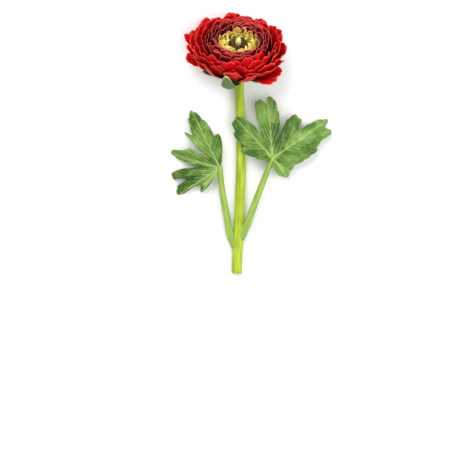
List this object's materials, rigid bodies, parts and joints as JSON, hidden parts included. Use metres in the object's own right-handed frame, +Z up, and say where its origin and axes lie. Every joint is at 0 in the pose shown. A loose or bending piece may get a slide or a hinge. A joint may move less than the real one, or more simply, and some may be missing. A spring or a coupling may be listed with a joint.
{
  "type": "ranunculus flower",
  "caption": "Red double ranunculus with a yellow green heart, picked on its stem with lobed leaves, lying down.",
  "frame": {"origin": "on the surface that the flower lies on, under the middle of its box", "axes": "+Y along the stem from the cut end to the bloom, +Z up from the surface"},
  "size_m": [0.0992, 0.1604, 0.0496],
  "materials": {
    "stem_green": "smooth, faintly ribbed, a soft satin",
    "sepal_green": "matt green with yellowish edges, thinly downy",
    "red_petal": "satin, lighter along the rims",
    "dusky_petal": "satin, dark with pinkish rims",
    "yellow_petal": "satin, yellow green with bronze tips",
    "stamen_dark": "matt, nearly black",
    "bud_cream": "satin cream",
    "leaf_green": "matt green with pale veins and a greyish bloom"
  },
  "bodies": {
    "root": {"stem": "stem_green", "calyx": "sepal_green", "red_petals": "red_petal", "dusky_petals": "dusky_petal", "yellow_petals": "yellow_petal", "stamens": "stamen_dark", "bud": "bud_cream", "leaf_right": "leaf_green", "leaf_left": "leaf_green"}
  },
  "joints": []
}
